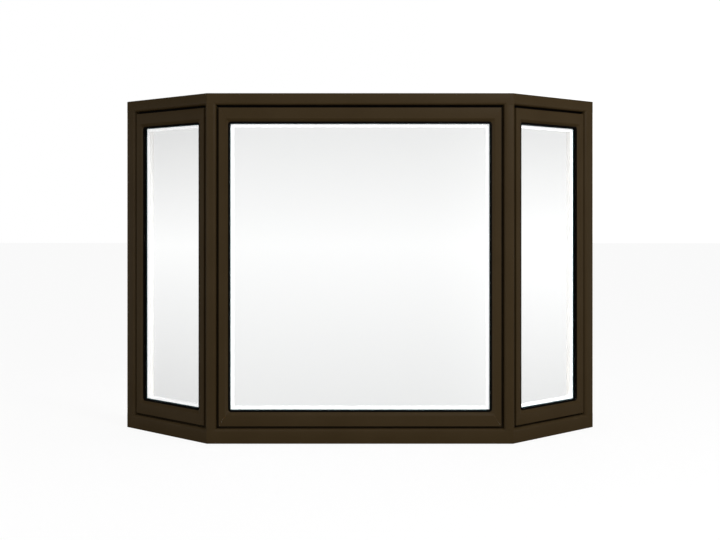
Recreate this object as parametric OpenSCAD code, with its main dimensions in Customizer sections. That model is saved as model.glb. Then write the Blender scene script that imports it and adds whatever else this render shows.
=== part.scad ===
// Three-panel bay window unit: a wide fixed centre window and two angled side windows,
// joined by mullions, with a head board, a seat board and jamb boards behind them.
// The outside faces -Y, the building is on the +Y side, and the unit stands on z = 0.

/* [Overall] */
// Height of the whole unit
overall_h = 1270; // [900:10:1800]
// Width of the centre window on its outside face, from bend to bend
center_w = 1110; // [800:10:1600]
// Width of each angled window on its outside face
flank_w = 500; // [380:5:800]
// Angle between the centre window and an angled window
flank_angle = 45; // [30:1:58]

/* [Frame] */
// Depth of the frame from its outside face to its inside face
frame_depth = 83; // [75:1:110]
// Height of the head frame's face
head_face = 43; // [30:1:70]
// Height of the sill frame's face
sill_face = 54; // [30:1:80]
// Width of a mullion's face on the centre window
mullion_face = 34; // [28:1:60]
// Width of a mullion's face on the angled window
mullion_side = 14; // [13:1:40]
// Width of the end jamb's face
jamb_face = 48; // [30:1:70]
// Radius of the rounded edge round each frame opening
edge_r = 12; // [4:1:12]
// How far the inside stop laps behind the sash
stop_lap = 8; // [5:1:16]
// Least width of the mullion's stop beside the inside corner
mullion_ledge = 6; // [4:1:15]

/* [Sash] */
// Gap between a sash and the frame round it
sash_gap = 9; // [4:0.5:12]
// How far the sash's face is set back behind the frame's face
sash_set = 4; // [1:0.5:8]
// Depth of a sash
sash_depth = 38; // [35:1:48]
// Height of a sash's top and bottom rail
rail_h = 50; // [36:1:80]
// Width of a sash's stiles
stile_w = 33; // [28:1:80]
// Radius of the sash's outer front edge
sash_edge_r = 4; // [1:0.5:6]
// How far the sloped inner edge of the sash runs across its face
bevel_run = 11; // [4:0.5:14]
// How far that slope drops
bevel_fall = 6; // [3:0.5:8]
// Corner radius of the sash opening
corner_r = 12; // [4:1:20]

/* [Glazing] */
// How far the glass is set back behind the sash's face
glass_set = 19; // [14:0.5:19]
// Thickness of a pane
pane_t = 4; // [3:0.5:6]
// Space between the two panes
cavity = 7; // [6:1:10]
// How far the glass reaches behind the sash's lip
glass_cover = 10; // [6:1:12]
// Clearance round the edge of the glass
glass_clear = 3; // [2:0.5:5]
// Width of the outside gasket that shows
gasket_w = 6.5; // [3:0.5:10]
// Thickness of the gasket's bed between lip and glass
gasket_bed = 3; // [2:0.5:4]
// How far the gasket's visible edge stands up beside the lip
gasket_rise = 9; // [1:0.5:10]
// Width of the light spacer bar that shows through the glass
spacer_sight = 14.5; // [5:0.5:20]
// How far the inside glazing bead stands up behind the sash
bead_rise = 5; // [2:0.5:8]
// How far the bead's raised part laps onto the sash
bead_lap = 3; // [1:0.5:3]
// Chamfer on the bead's inner edge
bead_chamfer = 5; // [1:0.5:6]
// Depth of the weather seal behind the sash's face
seal_set = 16; // [10:1:24]
// Thickness of the weather seal
seal_t = 8; // [4:1:12]

/* [Boards] */
// Depth of the wall that the boards pass through
wall_depth = 116; // [90:1:200]
// Thickness of the head board and the seat board
board_t = 32; // [18:1:45]
// Thickness of a jamb board
jamb_board_t = 19; // [15:1:30]
// Diameter of the fixing holes in a jamb board
screw_d = 5.5; // [4:0.5:8]
// Distance between the two columns of fixing holes
screw_pitch_y = 60; // [30:5:70]
// Distance between the upper and lower fixing holes
screw_pitch_z = 900; // [500:50:1000]

/* [Hidden] */

// Steps in each rounded corner of an outline
corner_steps = 6;
// How far a cutter runs past the face that it cuts
past = 1;
$fn = 96;

bronze = [0.23, 0.19, 0.13];
black = [0.05, 0.05, 0.05];
pale_grey = [0.88, 0.89, 0.88];
white = [0.93, 0.93, 0.92];
pale_wood = [0.80, 0.66, 0.46];
clear_glass = [0.82, 0.90, 0.92, 0.35];

// Where the sash's back meets the frame's stop
pocket_v = sash_set + sash_depth;
// How far a stop reaches in from the pocket's wall
stop_w = sash_gap + stop_lap;
// Where the mitre between two frames ends on the inside face
mitre_run = frame_depth * tan(flank_angle / 2);
// Where the mullion's stop ends on the angled window
inner_stop = max(mullion_side + stop_w, mitre_run + mullion_ledge);
pocket_z0 = sill_face;
pocket_z1 = overall_h - head_face;
glass_v = sash_set + glass_set;
lip_back_v = glass_v - gasket_bed;
glass_back_v = glass_v + 2 * pane_t + cavity;

// The angled window's two ends in plan, on the outside and on the inside
flank_end = flank_point(flank_w, 0);
flank_end_inside = flank_point(flank_w, frame_depth);
bend_x = center_w / 2;
end_x = bend_x + flank_end[0];
jamb_x = bend_x + flank_end_inside[0];
wall_y = flank_end_inside[1];
back_y = wall_y + wall_depth;
// The outer front corner of a jamb board, on the end of the angled frame
jamb_front = [jamb_x + jamb_board_t, wall_y - jamb_board_t / tan(flank_angle)];
front_y = -back_y / 2;

// A point of the angled window's plan: s along its face and v behind it, from the bend
function flank_point(s, v) = [s * cos(flank_angle) - v * sin(flank_angle),
                              s * sin(flank_angle) + v * cos(flank_angle)];

// The walls of the pocket that holds the sash, and the edges of the stops behind it
function pocket_x0(p) = p == "center" ? mullion_face - bend_x : mullion_side;
function pocket_x1(p) = p == "center" ? bend_x - mullion_face : flank_w - jamb_face;
function stop_x0(p) = p == "center" ? pocket_x0(p) + stop_w : inner_stop;
function stop_x1(p) = pocket_x1(p) - stop_w;

// [x0, x1, z0, z1] of a panel's sash, and of the opening inside its lip
function sash_box(p) = [pocket_x0(p) + sash_gap, pocket_x1(p) - sash_gap,
                        pocket_z0 + sash_gap, pocket_z1 - sash_gap];
function lip_box(p) = inset(sash_box(p), stile_w, rail_h);
function inset(b, dx, dz) = [b[0] + dx, b[1] - dx, b[2] + dz, b[3] - dz];
function grown(b, d) = inset(b, -d, -d);

// The outline of a box with rounded corners
function rounded_outline(b, r) =
    [for (c = [[b[1] - r, b[3] - r, 0], [b[0] + r, b[3] - r, 90],
               [b[0] + r, b[2] + r, 180], [b[1] - r, b[2] + r, 270]])
     for (i = [0:corner_steps])
     let (a = c[2] + 90 * i / corner_steps)
     [c[0] + r * cos(a), c[1] + r * sin(a)]];

// Puts a panel's own frame in its place: x along its face, y behind it, z up
module place(p) {
    if (p == "center") translate([0, front_y, 0]) children();
    if (p == "right") translate([bend_x, front_y, 0]) rotate([0, 0, flank_angle]) children();
    if (p == "left") mirror([1, 0, 0]) place("right") children();
}

// Puts a right-hand piece on the right, or its mirror image on the left
module on_side(side) {
    if (side == "right") translate([0, front_y, 0]) children();
    if (side == "left") mirror([1, 0, 0]) on_side("right") children();
}

// Extrudes an outline drawn in x and z from depth v0 to depth v1
module between(v0, v1) {
    translate([0, v1, 0]) rotate([90, 0, 0]) linear_extrude(height = v1 - v0) children();
}

module box_outline(b) {
    translate([b[0], b[2]]) square([b[1] - b[0], b[3] - b[2]]);
}

// A solid whose plan and whose side view are the same kind of outline, mitred at its corners
module mitred(b) {
    intersection() {
        translate([0, 0, b[2] - frame_depth])
            linear_extrude(height = b[3] - b[2] + 2 * frame_depth) children(0);
        translate([b[0] - frame_depth, 0, 0]) rotate([90, 0, 90])
            linear_extrude(height = b[1] - b[0] + 2 * frame_depth) mirror([1, -1]) children(1);
    }
}

// ---- Frame ----

// The mouth of a pocket from lo to hi, opening outwards with a rounded edge
module mouth_outline(lo, hi) {
    difference() {
        translate([lo - edge_r, -past]) square([hi - lo + 2 * edge_r, edge_r + past]);
        for (x = [lo - edge_r, hi + edge_r]) translate([x, edge_r]) circle(r = edge_r);
    }
}

module mouth(p) {
    b = [pocket_x0(p), pocket_x1(p), pocket_z0, pocket_z1];
    mitred(b) {
        mouth_outline(b[0], b[1]);
        mouth_outline(b[2], b[3]);
    }
}

module frame_plan(p) {
    if (p == "center")
        polygon([[-bend_x, 0], [bend_x, 0], [bend_x - mitre_run, frame_depth],
                 [mitre_run - bend_x, frame_depth]]);
    else
        polygon([[0, 0], [flank_w, 0], [flank_w, frame_depth], [mitre_run, frame_depth]]);
}

// A head or sill frame: a bar with face height face_h from z, and its stop from stop_z
module cross_frame(p, z, face_h, stop_z) {
    color(bronze) place(p) {
        difference() {
            translate([0, 0, z]) linear_extrude(height = face_h) frame_plan(p);
            mouth(p);
        }
        translate([stop_x0(p), pocket_v, stop_z])
            cube([stop_x1(p) - stop_x0(p), frame_depth - pocket_v, stop_w]);
    }
}

module head_frame(p) {
    cross_frame(p, pocket_z1, head_face, pocket_z1 - stop_w);
}

module sill_frame(p) {
    cross_frame(p, 0, sill_face, sill_face);
}

// A pocket from lo to hi in plan, with its rounded mouth
module pocket_outline(lo, hi) {
    mouth_outline(lo, hi);
    translate([lo, -past]) square([hi - lo, pocket_v + past]);
}

// A post between the sill frame and the head frame, from its outline in plan
module post() {
    translate([0, 0, pocket_z0]) linear_extrude(height = pocket_z1 - pocket_z0) children();
}

// The post at a bend, with a pocket wall and a stop for the window on each side
module mullion(side) {
    color(bronze) on_side(side) translate([bend_x, 0, 0]) post() difference() {
        polygon([[-mullion_face - stop_w, 0], [0, 0], flank_point(inner_stop, 0),
                 flank_point(inner_stop, frame_depth), [-mitre_run, frame_depth],
                 [-mullion_face - stop_w, frame_depth]]);
        translate([-bend_x, 0]) pocket_outline(pocket_x0("center"), pocket_x1("center"));
        rotate(flank_angle) pocket_outline(pocket_x0(side), pocket_x1(side));
    }
}

module end_jamb(side) {
    color(bronze) place(side) post() difference() {
        translate([stop_x1(side), 0]) square([jamb_face + stop_w, frame_depth]);
        pocket_outline(pocket_x0(side), pocket_x1(side));
    }
}

// The wedge that turns the angled frame's end square to the wall, beside the jamb board
module wall_block(side) {
    color(pale_wood) on_side(side) linear_extrude(height = overall_h)
        polygon([jamb_front, [end_x, flank_end[1]], [end_x, wall_y], [jamb_front[0], wall_y]]);
}

// ---- Boards ----

// The outline shared by the head board and the seat board: it follows the inside of the
// frames, then passes through the wall under or over the jamb boards
module board_plan() {
    inside_x = bend_x - mitre_run;
    right = [[inside_x, frame_depth], [jamb_x, wall_y], jamb_front, [jamb_front[0], back_y]];
    left = [for (i = [len(right) - 1:-1:0]) [-right[i][0], right[i][1]]];
    polygon(concat(right, left));
}

module seat_board() {
    color(pale_wood) translate([0, front_y, 0]) linear_extrude(height = board_t) board_plan();
}

module head_board() {
    color(pale_wood) translate([0, front_y, overall_h - board_t])
        linear_extrude(height = board_t) board_plan();
}

// A jamb board lines the wall between the seat board and the head board, and its front end
// is cut to lie on the end of the angled frame
module jamb_board(side) {
    mid_y = (wall_y + back_y) / 2;
    color(pale_wood) on_side(side) difference() {
        translate([0, 0, board_t]) linear_extrude(height = overall_h - 2 * board_t)
            polygon([[jamb_x, wall_y], jamb_front, [jamb_front[0], back_y], [jamb_x, back_y]]);
        for (y = [-1, 1], z = [-1, 1])
            translate([jamb_x - past, mid_y + y * screw_pitch_y / 2,
                       overall_h / 2 + z * screw_pitch_z / 2])
                rotate([0, 90, 0]) cylinder(h = jamb_board_t + 2 * past, d = screw_d);
    }
}

// ---- Sashes ----

// A sash's own outline in plan, with rounded front edges
module sash_outline(lo, hi) {
    translate([lo, sash_set + sash_edge_r]) square([hi - lo, sash_depth - sash_edge_r]);
    translate([lo + sash_edge_r, sash_set]) square([hi - lo - 2 * sash_edge_r, sash_depth]);
    for (x = [lo + sash_edge_r, hi - sash_edge_r])
        translate([x, sash_set + sash_edge_r]) circle(r = sash_edge_r);
}

// The sloped mouth of the sash opening
module bevel_outline(lo, hi) {
    polygon([[lo - bevel_run, sash_set - past], [hi + bevel_run, sash_set - past],
             [hi + bevel_run, sash_set], [hi, sash_set + bevel_fall],
             [lo, sash_set + bevel_fall], [lo - bevel_run, sash_set]]);
}

module whole_sash(p) {
    b = sash_box(p);
    lip = lip_box(p);
    difference() {
        mitred(b) {
            sash_outline(b[0], b[1]);
            sash_outline(b[2], b[3]);
        }
        mitred(lip) {
            bevel_outline(lip[0], lip[1]);
            bevel_outline(lip[2], lip[3]);
        }
        between(sash_set, pocket_v + past) polygon(rounded_outline(lip, corner_r));
        between(lip_back_v, pocket_v + past) box_outline(grown(lip, glass_cover + glass_clear));
    }
}

// One member of a sash, cut along the lines from its outer to its inner corners.
// part is one of "top", "bottom", "low_x" and "high_x".
module sash_member(p, part) {
    b = sash_box(p);
    reach = 1.5;
    c = inset(b, reach * stile_w, reach * rail_h);
    color(bronze) place(p) intersection() {
        whole_sash(p);
        between(sash_set - past, pocket_v + past) {
            if (part == "top") polygon([[b[0], b[3]], [b[1], b[3]], [c[1], c[3]], [c[0], c[3]]]);
            if (part == "bottom") polygon([[b[0], b[2]], [b[1], b[2]], [c[1], c[2]], [c[0], c[2]]]);
            if (part == "low_x") polygon([[b[0], b[2]], [c[0], c[2]], [c[0], c[3]], [b[0], b[3]]]);
            if (part == "high_x") polygon([[b[1], b[2]], [c[1], c[2]], [c[1], c[3]], [b[1], b[3]]]);
        }
    }
}

// ---- Glazing ----

// The two panes of a sealed unit
module glass(p) {
    color(clear_glass) place(p)
        for (v = [glass_v, glass_v + pane_t + cavity])
            between(v, v + pane_t) box_outline(grown(lip_box(p), glass_cover));
}

// The bar between the panes, which shows as a pale border inside the gasket
module spacer(p) {
    inner = inset(lip_box(p), gasket_w + spacer_sight, gasket_w + spacer_sight);
    color(pale_grey) place(p) between(glass_v + pane_t, glass_v + pane_t + cavity)
        difference() {
            box_outline(grown(lip_box(p), glass_cover));
            polygon(rounded_outline(inner, corner_r / 4));
        }
}

// The outside gasket: a bed behind the lip and a raised edge beside it
module gasket(p) {
    lip = lip_box(p);
    inner = inset(lip, gasket_w, gasket_w);
    color(black) place(p) {
        between(lip_back_v, glass_v) difference() {
            box_outline(grown(lip, glass_cover));
            polygon(rounded_outline(inner, corner_r / 2));
        }
        between(lip_back_v - gasket_rise, lip_back_v) difference() {
            polygon(rounded_outline(lip, corner_r));
            polygon(rounded_outline(inner, corner_r / 2));
        }
    }
}

// The opening of the bead, widening towards the room
module bead_outline(lo, hi) {
    v1 = pocket_v + bead_rise;
    polygon([[lo, glass_back_v - past], [hi, glass_back_v - past], [hi, v1 - bead_chamfer],
             [hi + bead_chamfer, v1], [hi + bead_chamfer, v1 + past],
             [lo - bead_chamfer, v1 + past], [lo - bead_chamfer, v1], [lo, v1 - bead_chamfer]]);
}

// The inside bead that holds the glass: it fills the rebate and stands up behind the sash
module bead(p) {
    lip = lip_box(p);
    inner = inset(lip, gasket_w, gasket_w);
    color(white) place(p) difference() {
        union() {
            between(glass_back_v, pocket_v) box_outline(grown(lip, glass_cover + glass_clear));
            between(glass_back_v, pocket_v + bead_rise) box_outline(grown(lip, bead_lap));
        }
        mitred(inner) {
            bead_outline(inner[0], inner[1]);
            bead_outline(inner[2], inner[3]);
        }
    }
}

// The weather seal that closes the gap round a sash
module seal(p) {
    b = sash_box(p);
    color(black) place(p) between(sash_set + seal_set, sash_set + seal_set + seal_t)
        difference() {
            box_outline(grown(b, sash_gap));
            box_outline(b);
        }
}

// ---- Sub-parts ----

head_frame("center");  // head_frame_center
head_frame("left");  // head_frame_left
head_frame("right");  // head_frame_right
sill_frame("center");  // sill_frame_center
sill_frame("left");  // sill_frame_left
sill_frame("right");  // sill_frame_right
mullion("left");  // mullion_left
mullion("right");  // mullion_right
end_jamb("left");  // end_jamb_left
end_jamb("right");  // end_jamb_right
wall_block("left");  // wall_block_left
wall_block("right");  // wall_block_right
jamb_board("left");  // jamb_board_left
jamb_board("right");  // jamb_board_right
head_board();
seat_board();
sash_member("center", "top");  // center_top_rail
sash_member("center", "bottom");  // center_bottom_rail
sash_member("center", "low_x");  // center_left_stile
sash_member("center", "high_x");  // center_right_stile
sash_member("left", "top");  // left_top_rail
sash_member("left", "bottom");  // left_bottom_rail
sash_member("left", "low_x");  // left_inner_stile
sash_member("left", "high_x");  // left_outer_stile
sash_member("right", "top");  // right_top_rail
sash_member("right", "bottom");  // right_bottom_rail
sash_member("right", "low_x");  // right_inner_stile
sash_member("right", "high_x");  // right_outer_stile
glass("center");  // center_glass
glass("left");  // left_glass
glass("right");  // right_glass
spacer("center");  // center_spacer
spacer("left");  // left_spacer
spacer("right");  // right_spacer
gasket("center");  // center_gasket
gasket("left");  // left_gasket
gasket("right");  // right_gasket
bead("center");  // center_bead
bead("left");  // left_bead
bead("right");  // right_bead
seal("center");  // center_seal
seal("left");  // left_seal
seal("right");  // right_seal
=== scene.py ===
import bmesh
import bpy
import math
from mathutils import Matrix, Vector


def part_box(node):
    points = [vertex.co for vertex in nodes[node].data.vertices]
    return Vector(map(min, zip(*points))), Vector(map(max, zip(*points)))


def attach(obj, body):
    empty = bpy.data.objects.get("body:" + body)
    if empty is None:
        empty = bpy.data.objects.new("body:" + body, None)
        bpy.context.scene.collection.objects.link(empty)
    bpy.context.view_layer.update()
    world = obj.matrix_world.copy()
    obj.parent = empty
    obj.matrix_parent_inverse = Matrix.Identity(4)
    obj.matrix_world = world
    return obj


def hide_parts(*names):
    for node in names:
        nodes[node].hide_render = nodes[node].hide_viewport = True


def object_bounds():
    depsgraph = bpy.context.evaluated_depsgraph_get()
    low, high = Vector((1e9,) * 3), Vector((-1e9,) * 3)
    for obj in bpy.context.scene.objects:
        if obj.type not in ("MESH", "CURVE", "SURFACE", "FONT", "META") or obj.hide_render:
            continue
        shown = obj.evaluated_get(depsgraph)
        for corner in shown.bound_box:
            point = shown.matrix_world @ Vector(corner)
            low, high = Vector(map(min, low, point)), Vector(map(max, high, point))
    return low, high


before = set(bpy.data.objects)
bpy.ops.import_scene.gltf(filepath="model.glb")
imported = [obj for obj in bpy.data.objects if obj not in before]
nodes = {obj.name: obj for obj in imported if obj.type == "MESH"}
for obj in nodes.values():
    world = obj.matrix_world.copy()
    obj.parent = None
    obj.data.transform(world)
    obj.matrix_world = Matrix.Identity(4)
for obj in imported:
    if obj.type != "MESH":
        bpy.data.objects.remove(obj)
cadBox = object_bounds()
low, high = (Vector(corner) for corner in cadBox)
quarter = math.radians(90)
print("frame loaded:", len(nodes), "nodes")

# the camera is level and looks straight at the middle window
cameraSet = {"distance": 4.507, "height": 0.836, "lens": 62.25, "shift": -0.0792,
             "sensor": 36, "clipEnd": 200}


def addCamera():
    data = bpy.data.cameras.new("camera")
    camera = bpy.data.objects.new("camera", data)
    bpy.context.scene.collection.objects.link(camera)
    camera.location = (0, low.y - cameraSet["distance"], cameraSet["height"])
    camera.rotation_euler = (quarter, 0, 0)
    data.lens = cameraSet["lens"]
    data.sensor_width = cameraSet["sensor"]
    data.shift_y = cameraSet["shift"]
    data.clip_end = cameraSet["clipEnd"]
    bpy.context.scene.camera = camera


addCamera()
print("camera placed")

# each window's own axes: x along the window, y into the room, z up
bay = {"flankAngle": 45.0}  # how far each side window turns back, in degrees
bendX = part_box("head_frame_center")[1][0]
turn = math.radians(bay["flankAngle"])
windowAxes = {
    "center": Matrix.Translation((0, low.y, 0)),
    "left": Matrix.Translation((-bendX, low.y, 0)) @ Matrix.Rotation(-turn, 4, "Z"),
    "right": Matrix.Translation((bendX, low.y, 0)) @ Matrix.Rotation(turn, 4, "Z"),
}
lowStile = {"center": "left_stile", "left": "outer_stile", "right": "inner_stile"}
highStile = {"center": "right_stile", "left": "inner_stile", "right": "outer_stile"}

# small distances in metres
near = 0.0002        # two places closer than this are the same
weld = 0.00001       # points closer than this are merged
cutFine = 0.000001   # how exactly a cut follows its plane
firstInset = 0.001   # how wide an inset is made, before it is fitted to its box
backInset = 0.002    # the same on a back face
facing = 0.9         # a normal that leans less than this along an axis doesn't face that way
flatWithin = 0.6     # faces that turn by fewer degrees than this are merged


def localBox(side, name):  # a node's corners in its window's axes
    back = windowAxes[side].inverted()
    spots = [back @ v.co for v in nodes[name].data.vertices]
    lo = Vector([min(s[i] for s in spots) for i in range(3)])
    hi = Vector([max(s[i] for s in spots) for i in range(3)])
    return lo, hi


def spread(lo, hi, by):  # a box grown in x and z
    return lo - Vector((by, 0, by)), hi + Vector((by, 0, by))


def yBox(lo, hi, y0, y1):  # the same box at another depth
    return Vector((lo.x, y0, lo.z)), Vector((hi.x, y1, hi.z))


def same(a, b):
    return abs(a - b) < near


def inBox(p, lo, hi, by=near):  # is the point in a box grown in x and z
    return lo.x - by < p.x < hi.x + by and lo.z - by < p.z < hi.z + by


def onBox(p, lo, hi):  # is the point on a box's outline
    return inBox(p, lo, hi) and (same(p.x, lo.x) or same(p.x, hi.x) or same(p.z, lo.z) or same(p.z, hi.z))


def alongDepth(a, b):
    return same(a.x, b.x) and same(a.z, b.z)


def clearPick():
    if bpy.context.mode != "OBJECT":
        bpy.ops.object.mode_set(mode="OBJECT")
    bpy.ops.object.select_all(action="DESELECT")


def only(piece):
    clearPick()
    piece.select_set(True)
    bpy.context.view_layer.objects.active = piece


def block(name, lo, hi):  # a cube between two corners, to be shaped
    clearPick()
    bpy.ops.mesh.primitive_cube_add(size=1, location=(lo + hi) / 2)
    piece = bpy.context.object
    piece.name = name
    piece.scale = hi - lo
    bpy.ops.object.transform_apply(location=True, rotation=True, scale=True)
    return piece


def editing(piece):
    only(piece)
    bpy.ops.object.mode_set(mode="EDIT")
    bpy.ops.mesh.select_mode(type="FACE")
    bpy.ops.mesh.select_all(action="DESELECT")


def pickFaces(piece, test):  # test(middle, normal)
    bpy.ops.mesh.select_mode(type="FACE")
    bpy.ops.mesh.select_all(action="DESELECT")
    bm = bmesh.from_edit_mesh(piece.data)
    for f in bm.faces:
        if test(f.calc_center_median(), f.normal):
            f.select_set(True)
    bmesh.update_edit_mesh(piece.data)


def pickEdges(piece, test):  # test(one end, the other end)
    bpy.ops.mesh.select_mode(type="EDGE")
    bpy.ops.mesh.select_all(action="DESELECT")
    bm = bmesh.from_edit_mesh(piece.data)
    for e in bm.edges:
        if test(e.verts[0].co, e.verts[1].co):
            e.select_set(True)
    bmesh.update_edit_mesh(piece.data)


def pickFront(piece):
    pickFaces(piece, lambda mid, normal: normal.y < -facing)


def pickLevel(piece, y, test):  # edges at one depth whose two ends both pass
    pickEdges(piece, lambda a, b: all(same(p.y, y) and test(p) for p in (a, b)))


def pickThrough(piece, y0, y1):  # edges that run straight back from one depth to another
    pickEdges(piece, lambda a, b: alongDepth(a, b) and same(min(a.y, b.y), y0) and same(max(a.y, b.y), y1))


def pickCorners(piece, lo, hi):  # edges that run straight back at a box's corners
    pickEdges(piece, lambda a, b: alongDepth(a, b) and min(abs(a.x - lo.x), abs(a.x - hi.x)) < near
              and min(abs(a.z - lo.z), abs(a.z - hi.z)) < near)


def pickSharp(degrees):
    bpy.ops.mesh.select_mode(type="EDGE")
    bpy.ops.mesh.select_all(action="DESELECT")
    bpy.ops.mesh.edges_select_sharp(sharpness=math.radians(degrees))


def dropEdges(piece, test):  # lets go of the picked edges that pass
    bm = bmesh.from_edit_mesh(piece.data)
    for e in bm.edges:
        if e.select and test(e):
            e.select_set(False)
    bmesh.update_edit_mesh(piece.data)


def pickRim(piece, y, test=lambda p: True):  # the sharp edges at one depth
    pickSharp(40)
    dropEdges(piece, lambda e: not all(same(v.co.y, y) and test(v.co) for v in e.verts))


def fitPicked(piece, lo, hi):  # stretches what is picked to a box in x and z
    bm = bmesh.from_edit_mesh(piece.data)
    spots = [v.co for v in bm.verts if v.select]
    size = [max(s[i] for s in spots) - min(s[i] for s in spots) for i in (0, 2)]
    mid = [(max(s[i] for s in spots) + min(s[i] for s in spots)) / 2 for i in (0, 2)]
    bpy.ops.transform.resize(value=((hi[0] - lo[0]) / size[0], 1, (hi[2] - lo[2]) / size[1]),
                             center_override=(mid[0], spots[0].y, mid[1]))
    shift = ((hi[0] + lo[0]) / 2 - mid[0], 0, (hi[2] + lo[2]) / 2 - mid[1])
    bpy.ops.transform.translate(value=shift)


def insetTo(piece, lo, hi, start=firstInset):
    bpy.ops.mesh.inset(thickness=start)
    fitPicked(piece, lo, hi)


def pushPicked(y):  # extrudes the picked faces into the room
    bpy.ops.mesh.extrude_region_move(TRANSFORM_OT_translate={"value": (0, y, 0)})


def bevelPicked(width, steps=2):
    bpy.ops.mesh.bevel(offset=width, segments=steps, affect="EDGES", clamp_overlap=True)


def closeUp(angle=35):  # the piece being edited, merged, facing out and shaded
    bpy.ops.mesh.select_all(action="SELECT")
    bpy.ops.mesh.remove_doubles(threshold=weld)
    bpy.ops.mesh.normals_make_consistent(inside=False)
    bpy.ops.object.mode_set(mode="OBJECT")
    bpy.ops.object.shade_smooth_by_angle(angle=math.radians(angle))


def tunnel(piece, lo, hi, back):  # opens the back face to a hole and joins it up
    bpy.ops.mesh.delete(type="ONLY_FACE")
    pickFaces(piece, lambda mid, normal: normal.y > facing and same(mid.y, back))
    insetTo(piece, lo, hi, backInset)
    bpy.ops.mesh.delete(type="ONLY_FACE")
    bpy.ops.mesh.select_all(action="SELECT")
    bpy.ops.mesh.remove_doubles(threshold=weld)


def flatRing(name, outer, inner, y0, y1):  # a square-edged ring, left in edit mode
    ring = block(name, *yBox(*outer, y0, y1))
    editing(ring)
    pickFront(ring)
    insetTo(ring, *inner)
    pushPicked(y1 - y0)
    tunnel(ring, *inner, y1)
    return ring


def joined(pieces):
    clearPick()
    for piece in pieces:
        piece.select_set(True)
    bpy.context.view_layer.objects.active = pieces[0]
    bpy.ops.object.join()
    return bpy.context.object


def finishPiece(piece, side, name, slotName, *replaced):
    piece.name = name
    if side:  # turned from its window's axes to its place
        only(piece)
        piece.matrix_world = windowAxes[side]
        bpy.ops.object.transform_apply(location=True, rotation=True, scale=True)
    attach(piece, "root")
    if replaced:
        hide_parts(*replaced)
    return piece


# sashes: one mitred frame a window, cut into its four members
sashCut = {
    "slopeRun": 0.011, "slopeFall": 0.006,  # the bevel that runs down to the glass
    "foldStart": 0.01, "lipStart": 0.004,   # the first width of the insets for its fold and its lip
    "cover": 0.013,                         # the rebate's depth behind the lip
    "bed": 0.010, "bedThick": 0.003,        # how far the gasket goes behind the lip, and its thickness there
    "edgeRound": 0.0042, "edgeSteps": 5, "edgeZone": 0.003,  # the outer front edge
    "outerRound": 0.0015, "outerSteps": 3,
    "backRound": 0.0008, "backZone": 0.001,
    "cornerRound": 0.012, "cornerSteps": 7,
    "softFold": 0.0016, "lipRound": 0.0009,
    "seam": 0.00002, "seamRound": 0.0003,   # the gap and the rounding at each mitre
}


def sashBoxes(side):  # the sash's outer corners, then its lip's
    rails = [localBox(side, side + "_" + part) for part in ("bottom_rail", "top_rail")]
    stiles = [localBox(side, side + "_" + part[side]) for part in (lowStile, highStile)]
    lo = Vector((stiles[0][0].x, rails[0][0].y, rails[0][0].z))
    hi = Vector((stiles[1][1].x, rails[0][1].y, rails[1][1].z))
    lip = spread(*localBox(side, side + "_gasket"), -sashCut["bed"])
    return lo, hi, *yBox(*lip, lo.y, hi.y)


def lipBoxes(side):
    return sashBoxes(side)[2:]


def lipBack(side):  # how deep the lip's back face lies
    return localBox(side, side + "_gasket")[1].y - sashCut["bedThick"]


def cutMembers(ring, lo, hi, holeLo, holeHi, seam, seamRound):
    # cuts a ring along its four corner lines; returns its bottom, top, low and high members
    corners = {
        "bl": (lo.x, lo.z, holeLo.x, holeLo.z), "br": (hi.x, lo.z, holeHi.x, holeLo.z),
        "tl": (lo.x, hi.z, holeLo.x, holeHi.z), "tr": (hi.x, hi.z, holeHi.x, holeHi.z)}
    middle = Vector(((lo.x + hi.x) / 2, 0, (lo.z + hi.z) / 2))
    wanted = {
        "bottom": ("bl", "br", Vector((middle.x, 0, lo.z))),
        "top": ("tl", "tr", Vector((middle.x, 0, hi.z))),
        "low": ("bl", "tl", Vector((lo.x, 0, middle.z))),
        "high": ("br", "tr", Vector((hi.x, 0, middle.z)))}
    members = {}
    for part, (first, second, inside) in wanted.items():
        only(ring)
        bpy.ops.object.duplicate()
        member = bpy.context.object
        editing(member)
        bpy.ops.mesh.select_all(action="SELECT")  # the far half goes first, so no cut can reach it
        bpy.ops.mesh.bisect(plane_co=middle, plane_no=middle - inside, clear_outer=True, threshold=cutFine)
        for key in (first, second):
            x0, z0, x1, z1 = corners[key]
            normal = Vector((z1 - z0, 0, x0 - x1)).normalized()
            if normal.dot(inside - Vector((x0, 0, z0))) > 0:
                normal = -normal
            spot = Vector((x0, 0, z0)) - normal * seam
            bpy.ops.mesh.select_all(action="SELECT")
            bpy.ops.mesh.bisect(plane_co=spot, plane_no=normal, use_fill=True, clear_outer=True,
                                threshold=cutFine)
            pickFaces(member, lambda mid, n: abs(n.dot(normal)) > 0.999
                      and abs((mid - spot).dot(normal)) < near)
            bpy.ops.mesh.region_to_loop()
            bevelPicked(seamRound, 1)
        closeUp()
        members[part] = member
    bpy.data.objects.remove(ring)
    return members


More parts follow.
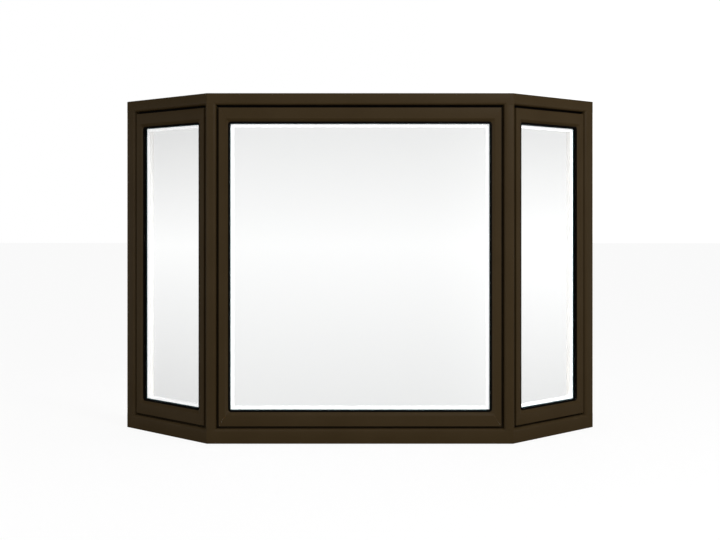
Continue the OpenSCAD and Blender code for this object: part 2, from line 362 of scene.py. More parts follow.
def makeSash(side):
    cut = sashCut
    lo, hi, *lip = sashBoxes(side)
    fold = spread(*lip, cut["slopeRun"])
    rebate = spread(*lip, cut["cover"])
    foldY, lipY = lo.y + cut["slopeFall"], lipBack(side)
    ring = block(side + "Sash", lo, hi)
    editing(ring)
    pickFront(ring)
    insetTo(ring, *fold, cut["foldStart"])
    insetTo(ring, *lip, cut["lipStart"])
    bpy.ops.transform.translate(value=(0, cut["slopeFall"], 0))
    pushPicked(lipY - foldY)
    pushPicked(0)
    fitPicked(ring, *rebate)
    pushPicked(hi.y - lipY)
    tunnel(ring, *rebate, hi.y)
    pickThrough(ring, foldY, lipY)
    bevelPicked(cut["cornerRound"], cut["cornerSteps"])
    pickThrough(ring, lo.y, hi.y)
    bevelPicked(cut["outerRound"], cut["outerSteps"])
    pickLevel(ring, lo.y, lambda p: not inBox(p, lo, hi, -cut["edgeZone"]))
    bevelPicked(cut["edgeRound"], cut["edgeSteps"])
    pickLevel(ring, lo.y, lambda p: inBox(p, *fold))
    bevelPicked(cut["softFold"])
    pickLevel(ring, foldY, lambda p: inBox(p, *lip))
    bevelPicked(cut["lipRound"])
    pickEdges(ring, lambda a, b: same(a.y, hi.y) and same(b.y, hi.y)
              and not all(inBox(p, lo, hi, -cut["backZone"]) for p in (a, b)))
    bevelPicked(cut["backRound"])
    closeUp()
    members = cutMembers(ring, lo, hi, *lip, cut["seam"], cut["seamRound"])
    names = {"bottom": "bottom_rail", "top": "top_rail", "low": lowStile[side], "high": highStile[side]}
    return [finishPiece(member, side, side + "Sash." + part, "bronze_frame", side + "_" + names[part])
            for part, member in members.items()]


sashPieces = [piece for side in windowAxes for piece in makeSash(side)]
print("sashes made:", len(sashPieces))

# outer frame: the members' own shapes, with their edges eased
frameEase = {
    "outer": 0.0016, "outerSteps": 3, "joint": 0.0004,  # roundings, in metres
    "uprightOver": 0.1, "levelOver": 0.2,               # an outer edge is longer than this
}


def easedCopy(nodeName, name):  # a merged copy of a node's shape, in edit mode
    mesh = nodes[nodeName].data.copy()
    mesh.materials.clear()
    piece = bpy.data.objects.new(name, mesh)
    bpy.context.scene.collection.objects.link(piece)
    editing(piece)
    bpy.ops.mesh.select_all(action="SELECT")
    bpy.ops.mesh.customdata_custom_splitnormals_clear()
    bpy.ops.mesh.remove_doubles(threshold=2 * weld)
    bpy.ops.mesh.dissolve_limited(angle_limit=math.radians(flatWithin))
    return piece


def makeFrameMember(nodeName):
    piece = easedCopy(nodeName, "frame." + nodeName.replace("_frame", ""))
    tall = "jamb" in nodeName or "mullion" in nodeName

    def outer(a, b):
        if tall:
            return same(a.x, b.x) and same(abs(a.x), high.x) and abs(a.z - b.z) > frameEase["uprightOver"]
        onRim = same(a.z, high.z) or same(a.z, low.z)
        return same(a.z, b.z) and onRim and (a - b).length > frameEase["levelOver"]

    pickEdges(piece, outer)
    bevelPicked(frameEase["outer"], frameEase["outerSteps"])
    pickSharp(30)
    bevelPicked(frameEase["joint"], 1)
    closeUp(30)
    return finishPiece(piece, None, piece.name, "bronze_frame", nodeName)


frameNodes = [name for name in nodes if "_frame_" in name or "mullion" in name or "end_jamb" in name]
framePieces = [makeFrameMember(name) for name in frameNodes]
print("frame members made:", len(framePieces))

# sealed glass: two panes, the bar that holds them apart and the sealant round it
glassMake = {
    "arris": 0.0006,                            # the ground edge of each pane
    "sight": 0.0195,                            # from the sash's lip to the bar's inner edge
    "bar": 0.011, "barGap": 0.0003,             # the bar's width, and its gap to each pane
    "barFold": 0.0022, "barCorner": 0.003, "barZone": 0.004,  # the roundings of its inner edge
    "sealantIn": 0.0008, "sealantClear": 0.0001,
}


def makePanes(side):
    lo, hi = localBox(side, side + "_glass")
    barLo, barHi = localBox(side, side + "_spacer")
    made = []
    for y0, y1 in ((lo.y, barLo.y), (barHi.y, hi.y)):
        pane = block(side + "Pane", *yBox(lo, hi, y0, y1))
        editing(pane)
        bpy.ops.mesh.select_all(action="SELECT")
        bevelPicked(glassMake["arris"], 1)
        closeUp(20)
        made.append(pane)
    return finishPiece(joined(made), side, side + "Glass.panes", "glazing", side + "_glass")


def makeBar(side):
    barLo, barHi = localBox(side, side + "_spacer")
    inside = spread(*lipBoxes(side), -glassMake["sight"])
    outside = spread(*inside, glassMake["bar"])
    gap = glassMake["barGap"]
    y0, y1 = barLo.y + gap, barHi.y - gap
    bar = flatRing(side + "Bar", outside, inside, y0, y1)
    pickCorners(bar, *inside)
    bevelPicked(glassMake["barCorner"], 3)
    for y in (y0, y1):
        pickRim(bar, y, lambda p: inBox(p, *inside, glassMake["barZone"]))
        bevelPicked(glassMake["barFold"])
    closeUp(30)
    bar = finishPiece(bar, side, side + "Glass.bar", "spacer", side + "_spacer")
    sealantOut = spread(barLo, barHi, -glassMake["sealantIn"])
    sealantIn = spread(*outside, glassMake["sealantClear"])
    sealant = flatRing(side + "Sealant", sealantOut, sealantIn, y0 - gap / 2, y1 + gap / 2)
    closeUp(30)
    return bar, finishPiece(sealant, side, side + "Glass.sealant", "gasket")


# rubber: the gasket outside the glass, the wedge inside it and the weather seal
rubberMake = {
    "width": 0.0065, "clear": 0.0001,  # how far rubber shows past the lip, and the space left round it
    "innerRound": 0.006, "innerSteps": 6, "bulb": 0.0009, "bulbSteps": 3,
    "wedgeIn": 0.002, "wedgeDepth": 0.0022, "wedgeCorner": 0.002, "wedgeRound": 0.0012, "wedgeZone": 0.0015,
    "sealBulb": 0.003, "sealSteps": 4,
}


def rubberHole(side):  # the opening that the gasket, the wedge and the bead share
    return spread(*lipBoxes(side), -rubberMake["width"])


def makeGasket(side):
    lo, hi = localBox(side, side + "_gasket")
    clear = rubberMake["clear"]
    bedY = lipBack(side)
    lip = spread(*lipBoxes(side), -clear)
    inside = rubberHole(side)
    ring = block(side + "Gasket", *yBox(lo, hi, bedY + clear, hi.y - clear))
    editing(ring)
    pickFront(ring)
    insetTo(ring, *lip)
    insetTo(ring, *inside)
    pushPicked(hi.y - bedY - 2 * clear)
    tunnel(ring, *inside, hi.y - clear)
    pickFaces(ring, lambda mid, normal: normal.y < -facing and inBox(mid, *lip, 0))
    pushPicked(lo.y - bedY)
    pickCorners(ring, *lip)
    bevelPicked(sashCut["cornerRound"] - clear, sashCut["cornerSteps"])
    pickCorners(ring, *inside)
    bevelPicked(rubberMake["innerRound"], rubberMake["innerSteps"])
    pickRim(ring, lo.y + clear)
    bevelPicked(rubberMake["bulb"], rubberMake["bulbSteps"])
    closeUp(50)
    return finishPiece(ring, side, side + "Rubber.gasket", "gasket", side + "_gasket")


def makeWedge(side):  # the rubber between the inner pane and its bead
    lo = localBox(side, side + "_bead")[0]
    inside = rubberHole(side)
    narrow = spread(*inside, -rubberMake["wedgeIn"])
    y0, y1 = lo.y + rubberMake["clear"], lo.y + rubberMake["wedgeDepth"]
    ring = flatRing(side + "Wedge", spread(*inside, -rubberMake["clear"]), narrow, y0, y1)
    pickCorners(ring, *narrow)
    bevelPicked(rubberMake["wedgeCorner"], 3)
    pickRim(ring, y1, lambda p: inBox(p, *narrow, rubberMake["wedgeZone"]))
    bevelPicked(rubberMake["wedgeRound"], 3)
    closeUp(50)
    return finishPiece(ring, side, side + "Rubber.wedge", "gasket")


def makeSeal(side):
    lo, hi = localBox(side, side + "_seal")
    tight = rubberMake["clear"]
    ring = flatRing(side + "Seal", spread(lo, hi, -tight), spread(*sashBoxes(side)[:2], tight), lo.y, hi.y)
    pickRim(ring, lo.y)
    bevelPicked(rubberMake["sealBulb"], rubberMake["sealSteps"])
    closeUp(60)
    return finishPiece(ring, side, side + "Rubber.seal", "gasket", side + "_seal")


# beads: four mitred lengths hold each glass from inside
beadMake = {"lap": 0.003, "clear": 0.0001, "nose": 0.0045, "noseSteps": 5, "outer": 0.001,
            "seam": 0.00002, "seamRound": 0.0004}


def makeBead(side):
    lo, hi = localBox(side, side + "_bead")
    sashBack = sashBoxes(side)[1].y
    inside = rubberHole(side)
    lap = spread(*lipBoxes(side), beadMake["lap"])
    ring = block(side + "Bead", *yBox(*spread(lo, hi, -beadMake["clear"]), lo.y, sashBack))
    editing(ring)
    pickFaces(ring, lambda mid, normal: normal.y > facing)
    insetTo(ring, *lap)
    pushPicked(hi.y - sashBack)
    pickFront(ring)
    insetTo(ring, *inside)
    pushPicked(hi.y - lo.y)
    tunnel(ring, *inside, hi.y)
    pickRim(ring, hi.y, lambda p: onBox(p, *inside))
    bevelPicked(beadMake["nose"], beadMake["noseSteps"])
    pickRim(ring, hi.y, lambda p: onBox(p, *lap))
    bevelPicked(beadMake["outer"])
    closeUp(40)
    lengths = cutMembers(ring, *lap, *inside, beadMake["seam"], beadMake["seamRound"])
    bead = joined(list(lengths.values()))
    return finishPiece(bead, side, side + "Glass.bead", "white_inside", side + "_bead")


panePieces = [makePanes(side) for side in windowAxes]
barPairs = [makeBar(side) for side in windowAxes]
barPieces = [pair[0] for pair in barPairs]
sealantPieces = [pair[1] for pair in barPairs]
rubberPieces = [make(side) for side in windowAxes for make in (makeGasket, makeWedge, makeSeal)]
beadPieces = [makeBead(side) for side in windowAxes]
print("glazing made:", sum(map(len, (panePieces, barPieces, sealantPieces, rubberPieces, beadPieces))))

# boards and blocks: eased edges, and sunk screw holes in the side boards
boardMake = {
    "ease": 0.0012, "holeRadius": 0.00275, "sink": 0.0024,
    "holeEdge": 0.012,  # a sharp edge shorter than this belongs to a hole
}


def makeBoard(nodeName):
    kind = "block." if "block" in nodeName else "board."
    piece = easedCopy(nodeName, kind + nodeName.replace("_board", "").replace("_block", ""))
    if "jamb" in nodeName:
        roomSide = 0 if "right" in nodeName else 1  # which of its corners is on the face with the screws
        face = abs(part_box(nodeName)[roomSide][0])
        pickEdges(piece, lambda a, b: same(abs(a.x), face) and same(abs(b.x), face)
                  and (a - b).length < boardMake["holeRadius"])
        bevelPicked(boardMake["sink"], 1)
    pickSharp(50)
    dropEdges(piece, lambda e: e.calc_length() < boardMake["holeEdge"])
    bevelPicked(boardMake["ease"])
    closeUp(30)
    return finishPiece(piece, None, piece.name, "board", nodeName)


boardPieces = [makeBoard(name) for name in nodes if name.endswith("_board") or "jamb_board" in name]
blockPieces = [makeBoard(name) for name in nodes if "wall_block" in name]
print("boards and blocks made:", len(boardPieces) + len(blockPieces))

# effects that several finishes share; places are in metres, so a scale counts features in each metre
effectSet = {
    "middle": (0.3, 0.7),  # the range of a noise that counts
    "peelDetail": 3.0, "driftDetail": 4.0,
    "wearLean": (0.995, 0.9), "wearScale": 55.0, "wearDetail": 5.0, "wearPatch": (0.42, 0.66),
    "dustDetail": 6.0, "dustPatch": (0.35, 0.75), "dustUp": (0.35, 0.95),
    "ringStretch": (0.55, 5.0, 5.0),
    "fibreStretch": (12.0, 420.0, 420.0), "poreStretch": (60.0, 1300.0, 1300.0),
    "ringDetail": 3.0, "fibreDetail": 4.0, "poreDetail": 1.0,
    "fibreRange": (0.25, 0.75), "poreRange": (0.6, 0.72),
}


def newGroup(name, inputs, outputs):
    tree = bpy.data.node_groups.new(name, "ShaderNodeTree")
    for label, value in inputs.items():
        kind = "NodeSocketVector" if value == "vector" else "NodeSocketFloat"
        socket = tree.interface.new_socket(name=label, in_out="INPUT", socket_type=kind)
        if kind == "NodeSocketFloat":
            socket.default_value = value
    for label in outputs:
        tree.interface.new_socket(name=label, in_out="OUTPUT", socket_type="NodeSocketFloat")
    return tree, tree.nodes.new("NodeGroupInput"), tree.nodes.new("NodeGroupOutput")


def add(tree, kind, links=None, **values):  # a node, its settings, its values and what feeds it
    node = tree.nodes.new("ShaderNode" + kind)
    for key, value in values.items():
        if hasattr(node, key):
            setattr(node, key, value)
        else:
            node.inputs[key].default_value = value
    for key, source in (links or {}).items():
        tree.links.new(source, node.inputs[key])
    return node


def maths(tree, operation, a, b, clamp=False):
    node = tree.nodes.new("ShaderNodeMath")
    node.operation = operation
    node.use_clamp = clamp
    for socket, value in zip(node.inputs, (a, b)):
        if isinstance(value, (int, float)):
            socket.default_value = value
        else:
            tree.links.new(value, socket)
    return node.outputs[0]


def remap(tree, value, fromLow, fromHigh, toLow=0.0, toHigh=1.0, smooth=False):
    node = tree.nodes.new("ShaderNodeMapRange")
    node.interpolation_type = "SMOOTHSTEP" if smooth else "LINEAR"
    tree.links.new(value, node.inputs["Value"])
    for key, number in zip(("From Min", "From Max", "To Min", "To Max"), (fromLow, fromHigh, toLow, toHigh)):
        node.inputs[key].default_value = number
    return node.outputs["Result"]


def noise(tree, source, detail, scale=1.0):
    return add(tree, "TexNoise", {"Vector": source}, Scale=scale, Detail=detail).outputs["Fac"]


def paintGroup():  # baked paint: fine orange peel and a slow drift in tone
    inputs = {"Vector": "vector", "Peel": 420.0, "Drift": 7.0}
    tree, start, end = newGroup("bakedPaint", inputs, ("Height", "Tone"))
    where = start.outputs["Vector"]
    peel = add(tree, "TexNoise", {"Vector": where, "Scale": start.outputs["Peel"]},
               Detail=effectSet["peelDetail"])
    drift = add(tree, "TexNoise", {"Vector": where, "Scale": start.outputs["Drift"]},
                Detail=effectSet["driftDetail"])
    tree.links.new(peel.outputs["Fac"], end.inputs["Height"])
    tree.links.new(remap(tree, drift.outputs["Fac"], *effectSet["middle"]), end.inputs["Tone"])
    return tree


def wearGroup():  # where edges are rubbed, from how far the rounded normal leans
    tree, start, end = newGroup("edgeWear", {"Vector": "vector", "Radius": 0.0015}, ("Mask",))
    bevel = add(tree, "Bevel", {"Radius": start.outputs["Radius"]}, samples=4)
    flat = add(tree, "NewGeometry")
    dot = add(tree, "VectorMath", {0: bevel.outputs["Normal"], 1: flat.outputs["Normal"]},
              operation="DOT_PRODUCT")
    lean = remap(tree, dot.outputs["Value"], *effectSet["wearLean"])
    patch = noise(tree, start.outputs["Vector"], effectSet["wearDetail"], effectSet["wearScale"])
    rubbed = maths(tree, "MULTIPLY", lean, remap(tree, patch, *effectSet["wearPatch"]))
    tree.links.new(rubbed, end.inputs["Mask"])
    return tree


def dustGroup():  # fine dust on what faces up
    tree, start, end = newGroup("restingDust", {"Vector": "vector", "Scale": 60.0}, ("Mask",))
    flat = add(tree, "NewGeometry")
    parts = add(tree, "SeparateXYZ", {"Vector": flat.outputs["Normal"]})
    grains = add(tree, "TexNoise", {"Vector": start.outputs["Vector"], "Scale": start.outputs["Scale"]},
                 Detail=effectSet["dustDetail"])
    up = remap(tree, parts.outputs["Z"], *effectSet["dustUp"], smooth=True)
    lying = maths(tree, "MULTIPLY", up, remap(tree, grains.outputs["Fac"], *effectSet["dustPatch"]))
    tree.links.new(lying, end.inputs["Mask"])
    return tree


def grainGroup():  # timber: growth rings, fibres and pores along the first axis
    inputs = {"Vector": "vector", "Rings": 9.0}
    tree, start, end = newGroup("timberGrain", inputs, ("Rings", "Fibre", "Pores"))

    def stretched(scale, detail):
        turned = add(tree, "Mapping", {"Vector": start.outputs["Vector"]}, Scale=scale)
        return noise(tree, turned.outputs["Vector"], detail)

    flow = stretched(effectSet["ringStretch"], effectSet["ringDetail"])
    rings = maths(tree, "MULTIPLY", flow, start.outputs["Rings"])
    rings = maths(tree, "PINGPONG", rings, 0.5)
    fibre = stretched(effectSet["fibreStretch"], effectSet["fibreDetail"])
    pores = stretched(effectSet["poreStretch"], effectSet["poreDetail"])
    tree.links.new(remap(tree, rings, 0.0, 0.5, smooth=True), end.inputs["Rings"])
    tree.links.new(remap(tree, fibre, *effectSet["fibreRange"]), end.inputs["Fibre"])
    tree.links.new(remap(tree, pores, *effectSet["poreRange"]), end.inputs["Pores"])
    return tree


bakedPaint, edgeWear, restingDust, timberGrain = paintGroup(), wearGroup(), dustGroup(), grainGroup()
print("surface effects made")


def newFinish(name):
    material = bpy.data.materials.new(name)
    material.use_nodes = True
    tree = material.node_tree
    return material, tree, tree.nodes["Principled BSDF"], add(tree, "TexCoord").outputs["Object"]


def place(tree, group, where, **values):  # a shared effect with this finish's own values
    node = tree.nodes.new("ShaderNodeGroup")
    node.node_tree = group
    for key, value in values.items():
        node.inputs[key].default_value = value
    tree.links.new(where, node.inputs["Vector"])
    return node.outputs


def blendColor(tree, mask, first, second):
    node = tree.nodes.new("ShaderNodeMix")
    node.data_type = "RGBA"
    tree.links.new(mask, node.inputs["Factor"])
    for socket, value in ((node.inputs[6], first), (node.inputs[7], second)):
        if isinstance(value, tuple):
            socket.default_value = (*value, 1)
        else:
            tree.links.new(value, socket)
    return node.outputs[2]


def partly(tree, mask, amount, first, second):  # like blendColor, with the mask made weaker
    return blendColor(tree, maths(tree, "MULTIPLY", mask, amount), first, second)


def between(tree, height, look):  # roughness that follows a noise
    return remap(tree, height, *effectSet["middle"], *look["rough"])


def connect(tree, shader, color, rough, height, bump):  # bump is its strength and its depth
    tree.links.new(color, shader.inputs["Base Color"])
    tree.links.new(rough, shader.inputs["Roughness"])
    node = add(tree, "Bump", {"Height": height}, Strength=bump[0], Distance=bump[1])
    tree.links.new(node.outputs["Normal"], shader.inputs["Normal"])


# painted light: makes a surface shine white by emission, though it is no lamp
def glow(shader, strength):
    shader.inputs["Emission Color"].default_value = (1, 1, 1, 1)
    shader.inputs["Emission Strength"].default_value = strength


dustColor = (0.12, 0.10, 0.07)

# bronze: baked paint on the frames and sashes
bronzeFinish = {
    "dark": (0.0300, 0.0188, 0.0070), "light": (0.0335, 0.0214, 0.0085), "rubbed": (0.06, 0.045, 0.027),
    "dust": 0.06, "dustRough": 2.0, "wear": 0.15, "gloss": 0.08,
    "rough": (0.38, 0.48), "bump": (0.05, 0.0004)}


def bronzePaint():
    material, tree, shader, where = newFinish("bronzePaint")
    look = bronzeFinish
    paint = place(tree, bakedPaint, where)
    wear = place(tree, edgeWear, where)
    # dust on what faces up; on the bronze it is also a painted highlight, lightening the upward faces as
    # light from above would
    dust = maths(tree, "MULTIPLY", place(tree, restingDust, where)["Mask"], look["dust"])
    shader.inputs["Specular IOR Level"].default_value = look["gloss"]
    tone = blendColor(tree, paint["Tone"], look["dark"], look["light"])
    tone = partly(tree, wear["Mask"], look["wear"], tone, look["rubbed"])
    tone = blendColor(tree, dust, tone, dustColor)
    dustRough = maths(tree, "MULTIPLY", dust, look["dustRough"])
    rough = maths(tree, "ADD", between(tree, paint["Height"], look), dustRough, True)
    connect(tree, shader, tone, rough, paint["Height"], look["bump"])
    return material


# rubber and sealant
rubberFinish = {
    "black": ((0.0016, 0.0012, 0.0009), (0.0035, 0.003, 0.0024)),  # each colour, and its bloom
    # painted light: the seal's colour is a light bronze-coloured rubber that stands for light reaching the
    # side and bottom grooves
    "seal": ((0.016, 0.011, 0.0055), (0.024, 0.0165, 0.008)),
    "sealant": ((0.07, 0.14, 0.16), (0.10, 0.18, 0.20)),
    "headZone": 0.06,  # painted shade: the seal is black this near the top, where the head shades its groove
    "peel": 900.0, "drift": 35.0, "bloom": 0.4, "dustScale": 140.0, "dust": 0.02,
    "gloss": 0.04, "rough": (0.55, 0.75), "bump": (0.15, 0.0002)}


def rubber(name, colors):
    material, tree, shader, where = newFinish(name)
    look = rubberFinish
    paint = place(tree, bakedPaint, where, Peel=look["peel"], Drift=look["drift"])
    dust = place(tree, restingDust, where, Scale=look["dustScale"])
    shader.inputs["Specular IOR Level"].default_value = look["gloss"]
    tone = partly(tree, paint["Tone"], look["bloom"], *colors)
    tone = partly(tree, dust["Mask"], look["dust"], tone, dustColor)
    connect(tree, shader, tone, between(tree, paint["Height"], look), paint["Height"], look["bump"])
    return material


# the pale bar between the panes: drawn metal with a painted face
barFinish = {
    "color": (0.965, 0.97, 0.97), "shade": (0.93, 0.935, 0.935), "shadeAmount": 0.5,
    "glow": 0.5,  # painted light: emission that stands for light coming through the bar
    "drawn": 900.0, "drawnDetail": 3.0, "peel": 700.0, "drift": 22.0,
    "rough": (0.32, 0.5), "bump": (0.1, 0.0002)}


def barPaint():
    material, tree, shader, where = newFinish("barPaint")
    look = barFinish
    drawn = noise(tree, where, look["drawnDetail"], look["drawn"])
    paint = place(tree, bakedPaint, where, Peel=look["peel"], Drift=look["drift"])
    # painted light: the bar shines white by emission
    glow(shader, look["glow"])
    tone = partly(tree, paint["Tone"], look["shadeAmount"], look["color"], look["shade"])
    connect(tree, shader, tone, between(tree, drawn, look), drawn, look["bump"])
    return material


# clear glass; lamps shine straight through it
glassFinish = {"tint": (0.996, 0.998, 0.997), "tintDeep": (0.99, 0.995, 0.993), "tintScale": 2.2, "ior": 1.5}


def clearGlass():
    material, tree, shader, where = newFinish("clearGlass")
    shader.inputs["Transmission Weight"].default_value = 1.0
    shader.inputs["Roughness"].default_value = 0.0
    shader.inputs["IOR"].default_value = glassFinish["ior"]
    slow = noise(tree, where, 1.0, glassFinish["tintScale"])
    tint = blendColor(tree, slow, glassFinish["tint"], glassFinish["tintDeep"])
    tree.links.new(tint, shader.inputs["Base Color"])
    path = add(tree, "LightPath")
    through = add(tree, "BsdfTransparent")
    mix = add(tree, "MixShader", {0: path.outputs["Is Shadow Ray"], 1: shader.outputs["BSDF"],
                                  2: through.outputs["BSDF"]})
    tree.links.new(mix.outputs["Shader"], tree.nodes["Material Output"].inputs["Surface"])
    return material


# timber: clear-finished veneer on the boards, plies at their edges, raw wood in the blocks
veneer = ((0.64, 0.46, 0.28), (0.50, 0.33, 0.18))
timberFinish = {
    "pore": (0.30, 0.18, 0.09), "fibreAmount": 0.45, "poreAmount": 0.5,
    "coatRough": 0.25, "bump": (0.12, 0.0003),
    "across": {"colors": veneer, "turned": (0, 0, 0), "coat": 0.12,
               "rings": 9.0, "rough": (0.38, 0.55)},
    "upright": {"colors": veneer, "turned": (0, quarter, 0), "coat": 0.12,
                "rings": 9.0, "rough": (0.38, 0.55)},
    "raw": {"colors": ((0.60, 0.43, 0.25), (0.44, 0.27, 0.13)), "turned": (0, quarter, 0), "coat": 0.0,
            "rings": 16.0, "rough": (0.6, 0.8)},
}
plyFinish = {
    "thick": 0.0023, "line": (0.35, 0.65), "pale": (0.55, 0.40, 0.24), "dark": (0.33, 0.21, 0.11),
    "rings": 14.0, "fibreAmount": 0.5, "rough": (0.6, 0.8), "bump": (0.2, 0.0002)}


def timber(name, kind):
    material, tree, shader, where = newFinish(name)
    wood = timberFinish[kind]
    aim = add(tree, "Mapping", {"Vector": where}, Rotation=wood["turned"])
    grain = place(tree, timberGrain, aim.outputs["Vector"], Rings=wood["rings"])
    tone = blendColor(tree, grain["Rings"], *wood["colors"])
    tone = partly(tree, grain["Fibre"], timberFinish["fibreAmount"], tone, wood["colors"][1])
    tone = partly(tree, grain["Pores"], timberFinish["poreAmount"], tone, timberFinish["pore"])
    shader.inputs["Coat Weight"].default_value = wood["coat"]
    shader.inputs["Coat Roughness"].default_value = timberFinish["coatRough"]
    rough = remap(tree, grain["Fibre"], 0.0, 1.0, *wood["rough"])
    height = maths(tree, "SUBTRACT", grain["Fibre"], grain["Pores"])
    connect(tree, shader, tone, rough, height, timberFinish["bump"])
    return material


def plyEdge(name, axis):  # stacked plies, seen on the boards' cut edges
    material, tree, shader, where = newFinish(name)
    look = plyFinish
    parts = add(tree, "SeparateXYZ", {"Vector": where})
    layer = maths(tree, "PINGPONG", maths(tree, "DIVIDE", parts.outputs[axis], look["thick"]), 1.0)
    line = remap(tree, layer, *look["line"])
    grain = place(tree, timberGrain, where, Rings=look["rings"])
    tone = blendColor(tree, line, look["pale"], look["dark"])
    tone = partly(tree, grain["Fibre"], look["fibreAmount"], tone, veneer[1])
    connect(tree, shader, tone, remap(tree, grain["Fibre"], 0.0, 1.0, *look["rough"]), line, look["bump"])
    return material


# white paint inside; its emission is painted light: a weak one stands for light thrown back by a bright room,
# and a stronger one on a second copy paints daylight on faces across the opening
whiteFinish = {
    "color": (0.80, 0.80, 0.79), "shade": (0.74, 0.74, 0.73), "shadeAmount": 0.4, "dust": 0.2,
    "gloss": 0.35, "glow": 0.10, "revealGlow": 0.55, "rough": (0.35, 0.5), "bump": (0.05, 0.0004),
    "from": 0.0405,  # the white starts this far behind a window's face, in metres
}


def whitePaint(name, strength):
    material, tree, shader, where = newFinish(name)
    look = whiteFinish
    paint = place(tree, bakedPaint, where)
    dust = place(tree, restingDust, where)
    shader.inputs["Specular IOR Level"].default_value = look["gloss"]
    glow(shader, strength)
    tone = partly(tree, paint["Tone"], look["shadeAmount"], look["color"], look["shade"])
    tone = partly(tree, dust["Mask"], look["dust"], tone, dustColor)
    connect(tree, shader, tone, between(tree, paint["Height"], look), paint["Height"], look["bump"])
    return material


def depthOf(spot):  # how far behind the nearest window's face a place lies
    return min((axes.inverted() @ spot).y for axes in windowAxes.values())


def paintInside(pieces, across):  # 1 on faces to the room, and across on the others that lie inside
    for piece in pieces:
        for face in piece.data.polygons:
            inward = max((axes.inverted().to_3x3() @ face.normal).y for axes in windowAxes.values())
            rim = same(face.center.z, high.z) or same(face.center.z, low.z)
            if depthOf(face.center) < whiteFinish["from"] or rim:
                face.material_index = 0
            else:
                face.material_index = 1 if inward > 0.2 else across


def dress(pieces, *materials):
    for piece in pieces:
        piece.data.materials.clear()
        for material in materials:
            piece.data.materials.append(material)


bronze = bronzePaint()
white = whitePaint("whitePaint", whiteFinish["glow"])
# painted light: a copy of the white that shines brighter, for faces across the opening
paintedLitWhite = whitePaint("whiteReveal", whiteFinish["revealGlow"])
# painted light: the frames' inner faces across the opening take the brighter copy
dress(framePieces, bronze, white, paintedLitWhite)
paintInside(framePieces, 2)
dress(sashPieces, bronze, white)
paintInside(sashPieces, 0)
# painted light: the beads' faces that don't face the room take the brighter copy
dress(beadPieces, paintedLitWhite, white)
paintInside(beadPieces, 0)
black, sealPaintedLight = rubber("blackRubber", rubberFinish["black"]), rubber("brownSeal", rubberFinish["seal"])
dress(rubberPieces, black)
# the seals carry painted light and shade: light bronze-coloured rubber where light reaches the grooves, black
# under the head
sealPieces = [piece for piece in rubberPieces if piece.name.endswith("seal")]
dress(sealPieces, sealPaintedLight, black)
for piece in sealPieces:  # painted shade: the length under the head is black, where the head shades its groove
    for face in piece.data.polygons:
        face.material_index = 1 if face.center.z > high.z - rubberFinish["headZone"] else 0
dress(sealantPieces, rubber("greySealant", rubberFinish["sealant"]))
dress(barPieces, barPaint())
dress(panePieces, clearGlass())
veneerAcross, veneerUpright = timber("veneerAcross", "across"), timber("veneerUpright", "upright")
plyFlat, plyUpright = plyEdge("plyEdgeFlat", "Z"), plyEdge("plyEdgeUpright", "X")
for piece in boardPieces:
    upright = "jamb" in piece.name
    dress([piece], *((veneerUpright, plyUpright) if upright else (veneerAcross, plyFlat)))
    for face in piece.data.polygons:
        showsFace = abs(face.normal.x if upright else face.normal.z) > 0.6
        face.material_index = 0 if showsFace else 1
dress(blockPieces, timber("rawTimber", "raw"))
dress(nodes.values(), bronze)
print("finishes made")

# studio: a pale floor, an even white room and soft lamps
studio = {
    "floorSize": 60, "floorTone": 0.82, "floorRough": 0.8,
    "floorEven": 0.9,  # how much of what the camera sees of it is plain white
    "whiteRight": 1.1, "whiteTurn": (0.05, 0.16),  # the room is a little brighter to the right
    "ambient": (0.40, 0.66), "ambientTurn": (-0.5, 0.6),  # its light from below and from above
    "band": 1.0, "bandMid": -0.026, "bandTop": 0.063, "bandBottom": -0.148,  # what shiny things show of it
    "lampAim": (0, 0, 0.7),
    "lamps": {  # place, width, power, and whether shiny things show it
        "keyLamp": ((2.4, -3.5, 2.9), 1.8, 135.0, True),
        "frontLamp": ((0.0, -4.6, 1.0), 1.8, 28.0, False),
        "lowLeftLamp": ((-3.0, -3.0, 0.9), 1.6, 24.0, True),
        "rightLamp": ((3.6, -0.8, 1.2), 1.6, 21.0, False),
        "leftLamp": ((-3.6, -0.8, 1.2), 1.6, 12.0, False)},
}


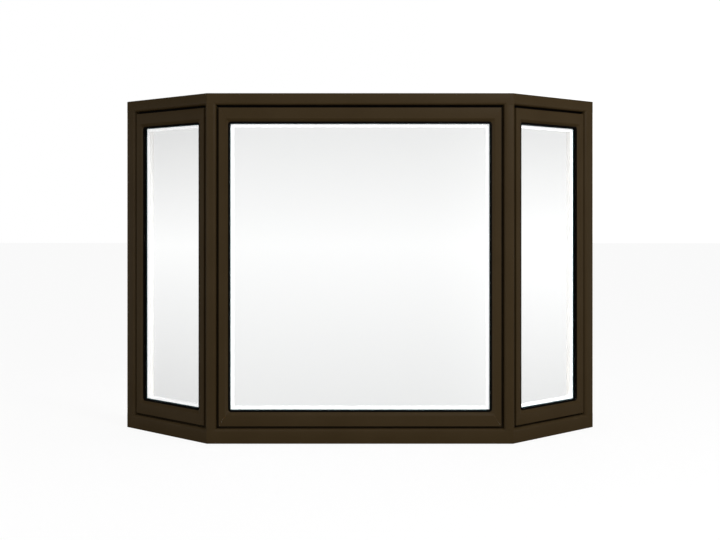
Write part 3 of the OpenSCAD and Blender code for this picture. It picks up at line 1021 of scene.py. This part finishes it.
def makeFloor():
    clearPick()
    bpy.ops.mesh.primitive_plane_add(size=studio["floorSize"], location=(0, 0, 0))
    floor = bpy.context.object
    floor.name = "floor"
    material, tree, shader, _ = newFinish("floorPaint")
    shader.inputs["Base Color"].default_value = (studio["floorTone"],) * 3 + (1,)
    shader.inputs["Roughness"].default_value = studio["floorRough"]
    plain = add(tree, "Emission", Strength=1.0)
    path = add(tree, "LightPath")
    even = maths(tree, "MULTIPLY", path.outputs["Is Camera Ray"], studio["floorEven"])
    mix = add(tree, "MixShader", {0: even, 1: shader.outputs["BSDF"], 2: plain.outputs["Emission"]})
    clear = add(tree, "BsdfTransparent")
    throughGlass = maths(tree, "ADD", path.outputs["Glossy Depth"], path.outputs["Is Transmission Ray"], True)
    whole = add(tree, "MixShader", {0: throughGlass, 1: mix.outputs["Shader"], 2: clear.outputs["BSDF"]})
    tree.links.new(whole.outputs["Shader"], tree.nodes["Material Output"].inputs["Surface"])
    floor.data.materials.append(material)
    floor.visible_glossy = False
    floor.visible_diffuse = False


def makeRoom():  # white where it is seen, soft where it lights, and a bright band where it is reflected
    world = bpy.data.worlds.new("studioRoom")
    bpy.context.scene.world = world
    world.use_nodes = True
    tree = world.node_tree
    back = tree.nodes["Background"]
    path = add(tree, "LightPath")
    direction = add(tree, "TexCoord")
    parts = add(tree, "SeparateXYZ", {"Vector": direction.outputs["Generated"]})
    above = remap(tree, parts.outputs["Z"], studio["bandTop"], studio["bandMid"])
    below = remap(tree, parts.outputs["Z"], studio["bandBottom"], studio["bandMid"])
    band = maths(tree, "MULTIPLY", maths(tree, "MINIMUM", above, below), studio["band"])
    mirrored = maths(tree, "MINIMUM", path.outputs["Glossy Depth"], 1.0)
    diffuse = maths(tree, "MINIMUM", path.outputs["Diffuse Depth"], 1.0)
    seen = remap(tree, parts.outputs["X"], *studio["whiteTurn"], 1.0, studio["whiteRight"], smooth=True)
    soft = remap(tree, parts.outputs["Z"], *studio["ambientTurn"], *studio["ambient"], smooth=True)
    level = add(tree, "Mix", {0: diffuse, 2: seen, 3: soft})
    final = add(tree, "Mix", {0: mirrored, 2: level.outputs[0], 3: band})
    tree.links.new(final.outputs[0], back.inputs["Strength"])
    back.inputs["Color"].default_value = (1, 1, 1, 1)


def addLamp(name, spot, size, power, shown):
    data = bpy.data.lights.new(name, "AREA")
    data.shape = "DISK"
    data.size = size
    data.energy = power
    light = bpy.data.objects.new(name, data)
    bpy.context.scene.collection.objects.link(light)
    light.location = spot
    light.rotation_euler = (Vector(studio["lampAim"]) - Vector(spot)).to_track_quat("-Z", "Y").to_euler()
    light.visible_glossy = shown
    light.visible_transmission = False
    light.visible_camera = False


makeFloor()
makeRoom()
for name, values in studio["lamps"].items():
    addLamp(name, *values)
bpy.context.scene.view_settings.view_transform = "Standard"
print("studio made")
